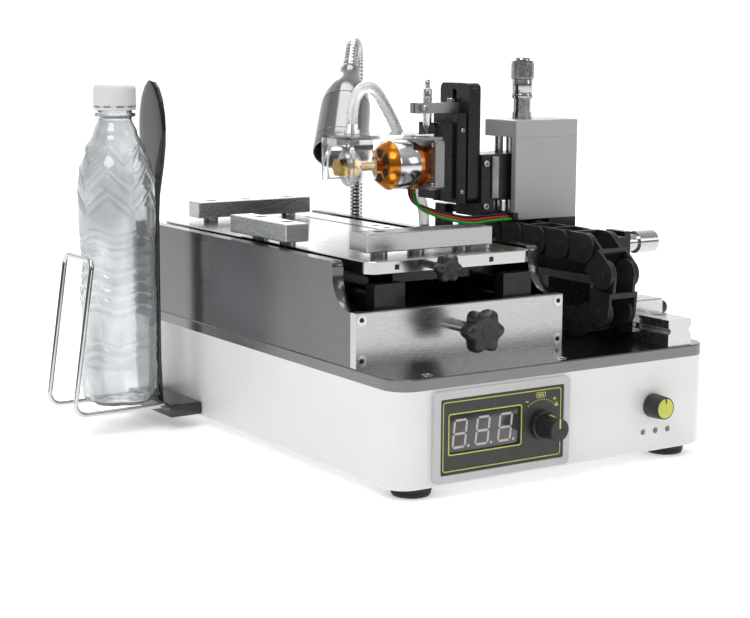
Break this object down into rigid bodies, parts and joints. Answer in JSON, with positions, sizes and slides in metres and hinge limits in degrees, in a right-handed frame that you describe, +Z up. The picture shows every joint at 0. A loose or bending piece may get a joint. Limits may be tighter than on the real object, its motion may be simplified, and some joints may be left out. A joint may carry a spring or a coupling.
{
  "type": "bench cutting router",
  "caption": "Bench-top phone-frame cutting router with a sliding clamp table, X and Z micrometer stages, brushless spindle, work lamp and water bottle in a cage.",
  "frame": {"origin": "bottom centre of the whole object's box, on the surface that the feet stand on", "axes": "+X to the machine's right, +Y to its rear, +Z up"},
  "size_m": [0.3024, 0.309, 0.2173],
  "materials": {
    "white_enamel": "satin",
    "rubber_black": "matte",
    "anodised_grey": "brushed",
    "screw_steel": "satin",
    "bezel_grey": "satin",
    "panel_dark": "matte",
    "board_plastic": "matte",
    "knob_black": "satin",
    "brushed_plate": "brushed",
    "dark_plate": "satin",
    "ground_steel": "ground",
    "table_metal": "brushed",
    "clamp_metal": "brushed",
    "anodised_black": "satin",
    "chrome_satin": "satin",
    "chain_plastic": "matte",
    "tower_grey": "satin",
    "orange_anodised": "gloss",
    "can_steel": "polished",
    "brass_turned": "turned",
    "disc_steel": "ground",
    "clear_acrylic": "clear",
    "clear_hose": "translucent",
    "lead_silicone": "satin",
    "lamp_chrome": "satin",
    "lamp_glass": "frosted",
    "gloss_black": "gloss",
    "wire_chrome": "polished",
    "clear_bottle": "clear",
    "cap_white": "satin"
  },
  "bodies": {
    "base": {"base_shell": "white_enamel", "feet": "rubber_black", "deck_plate": "anodised_grey", "cover_screws": "screw_steel", "panel_bezel": "bezel_grey", "panel_face": "panel_dark", "governor_module": "board_plastic", "power_inlet": "board_plastic", "trough_end_plates": "brushed_plate", "trough_walls": "dark_plate", "table_guides": "dark_plate", "gantry_rail": "ground_steel", "chain_anchor": "chain_plastic", "lamp_stand": "lamp_chrome", "cage_back": "gloss_black", "cage_wire": "wire_chrome"},
    "table": {"table_plate": "table_metal", "table_slide": "dark_plate", "rear_clamp_bar": "clamp_metal", "side_clamp_bar": "clamp_metal", "fixed_bar_screws": "screw_steel"},
    "front_clamp": {"front_clamp_bar": "clamp_metal"},
    "feed": {"feed_knob": "knob_black", "feed_screw": "ground_steel"},
    "table_lock": {"lock_knob": "knob_black"},
    "stop": {"rail_stop": "anodised_grey"},
    "gantry": {"saddle_carriages": "anodised_black", "gantry_saddle": "anodised_grey", "x_base": "anodised_black", "x_mic_sleeve": "chrome_satin", "chain_run": "chain_plastic"},
    "chain": {"chain_bend": "chain_plastic"},
    "x_stage": {"x_slide": "anodised_black", "tower_column": "tower_grey", "tower_cap": "tower_grey", "z_guide_rods": "ground_steel", "z_mic_sleeve": "chrome_satin"},
    "x_micrometer": {"x_mic_thimble": "chrome_satin"},
    "z_head": {"z_slide": "anodised_black", "z_plate": "anodised_black", "pin_arm": "anodised_black", "motor_mount": "anodised_grey", "motor_stator": "orange_anodised", "splash_guard": "clear_acrylic", "hose_fitting": "clear_acrylic", "water_hose": "clear_hose", "motor_leads": "lead_silicone"},
    "z_micrometer": {"z_mic_thimble": "chrome_satin"},
    "rotor": {"motor_bell": "orange_anodised", "motor_can": "can_steel", "spindle": "brass_turned", "cutting_disc": "disc_steel", "disc_nut": "brass_turned"},
    "pointer": {"pointer_pin": "ground_steel"},
    "governor": {"governor_knob": "knob_black"},
    "flow": {"flow_knob": "knob_black"},
    "lamp_head": {"lamp_shade": "lamp_chrome", "lamp_lens": "lamp_glass"},
    "water_bottle": {"bottle": "clear_bottle"},
    "water_cap": {"bottle_cap": "cap_white"}
  },
  "joints": [
    {"name": "table_travel", "type": "slide", "parent": "base", "child": "table", "axis": [0, 1, 0], "range_m": [-0.022, 0.018]},
    {"name": "feed_turn", "type": "hinge", "parent": "base", "child": "feed", "pos_m": [-0.01827, -0.1275, 0.0765], "axis": [0, 1, 0], "range_deg": [-3961, 3241]},
    {"name": "front_clamp_travel", "type": "slide", "parent": "table", "child": "front_clamp", "axis": [0, 1, 0], "range_m": [-0.004, 0.038]},
    {"name": "table_lock_turn", "type": "hinge", "parent": "table", "child": "table_lock", "pos_m": [-0.02677, -0.1075, 0.106], "axis": [0, 1, 0], "range_deg": [-45, 540]},
    {"name": "stop_travel", "type": "slide", "parent": "base", "child": "stop", "axis": [0, 1, 0], "range_m": [-0.015, 0.008]},
    {"name": "gantry_travel", "type": "slide", "parent": "base", "child": "gantry", "axis": [0, 1, 0], "range_m": [-0.008, 0.02]},
    {"name": "chain_roll", "type": "hinge", "parent": "base", "child": "chain", "pos_m": [0.08123, -0.088, 0.0677], "axis": [1, 0, 0], "range_deg": [-29, 12]},
    {"name": "x_travel", "type": "slide", "parent": "gantry", "child": "x_stage", "axis": [1, 0, 0], "range_m": [-0.004, 0.004]},
    {"name": "x_micrometer_turn", "type": "hinge", "parent": "x_stage", "child": "x_micrometer", "pos_m": [0.13623, -0.0605, 0.1041], "axis": [1, 0, 0], "range_deg": [-2881, 2881]},
    {"name": "z_travel", "type": "slide", "parent": "x_stage", "child": "z_head", "axis": [0, 0, 1], "range_m": [-0.006, 0.008], "deforming": ["water_hose", "motor_leads"]},
    {"name": "z_micrometer_turn", "type": "hinge", "parent": "z_head", "child": "z_micrometer", "pos_m": [0.08923, -0.016, 0.1855], "axis": [0, 0, 1], "range_deg": [-4321, 5761]},
    {"name": "spindle_turn", "type": "hinge", "parent": "z_head", "child": "rotor", "pos_m": [-0.01677, -0.0075, 0.1489], "axis": [-1, 0, 0], "continuous": true},
    {"name": "pointer_travel", "type": "slide", "parent": "z_head", "child": "pointer", "axis": [0, 0, 1], "range_m": [-0.001, 0.012]},
    {"name": "governor_turn", "type": "hinge", "parent": "base", "child": "governor", "pos_m": [0.00773, -0.1375, 0.0295], "axis": [0, -1, 0], "range_deg": [-150, 150]},
    {"name": "flow_turn", "type": "hinge", "parent": "base", "child": "flow", "pos_m": [0.08273, -0.1375, 0.0303], "axis": [0, -1, 0], "range_deg": [-150, 150]},
    {"name": "lamp_tilt", "type": "hinge", "parent": "base", "child": "lamp_head", "pos_m": [0.05411, 0.10995, 0.19938], "axis": [0.7628, -0.6466, 0], "range_deg": [-20, 20]},
    {"name": "bottle_lift", "type": "slide", "parent": "base", "child": "water_bottle", "axis": [0, 0, 1], "range_m": [0, 0.11]},
    {"name": "cap_turn", "type": "hinge", "parent": "water_bottle", "child": "water_cap", "pos_m": [-0.11477, 0.0855, 0.1805], "axis": [0, 0, 1], "range_deg": [0, 540]}
  ],
  "couplings": [
    {"joint": "feed_turn", "follows": "table_travel", "rad_per_m": 3141.6},
    {"joint": "chain_roll", "follows": "gantry_travel", "rad_per_m": -24.9},
    {"joint": "x_micrometer_turn", "follows": "x_travel", "rad_per_m": 12566},
    {"joint": "z_micrometer_turn", "follows": "z_travel", "rad_per_m": 12566}
  ]
}
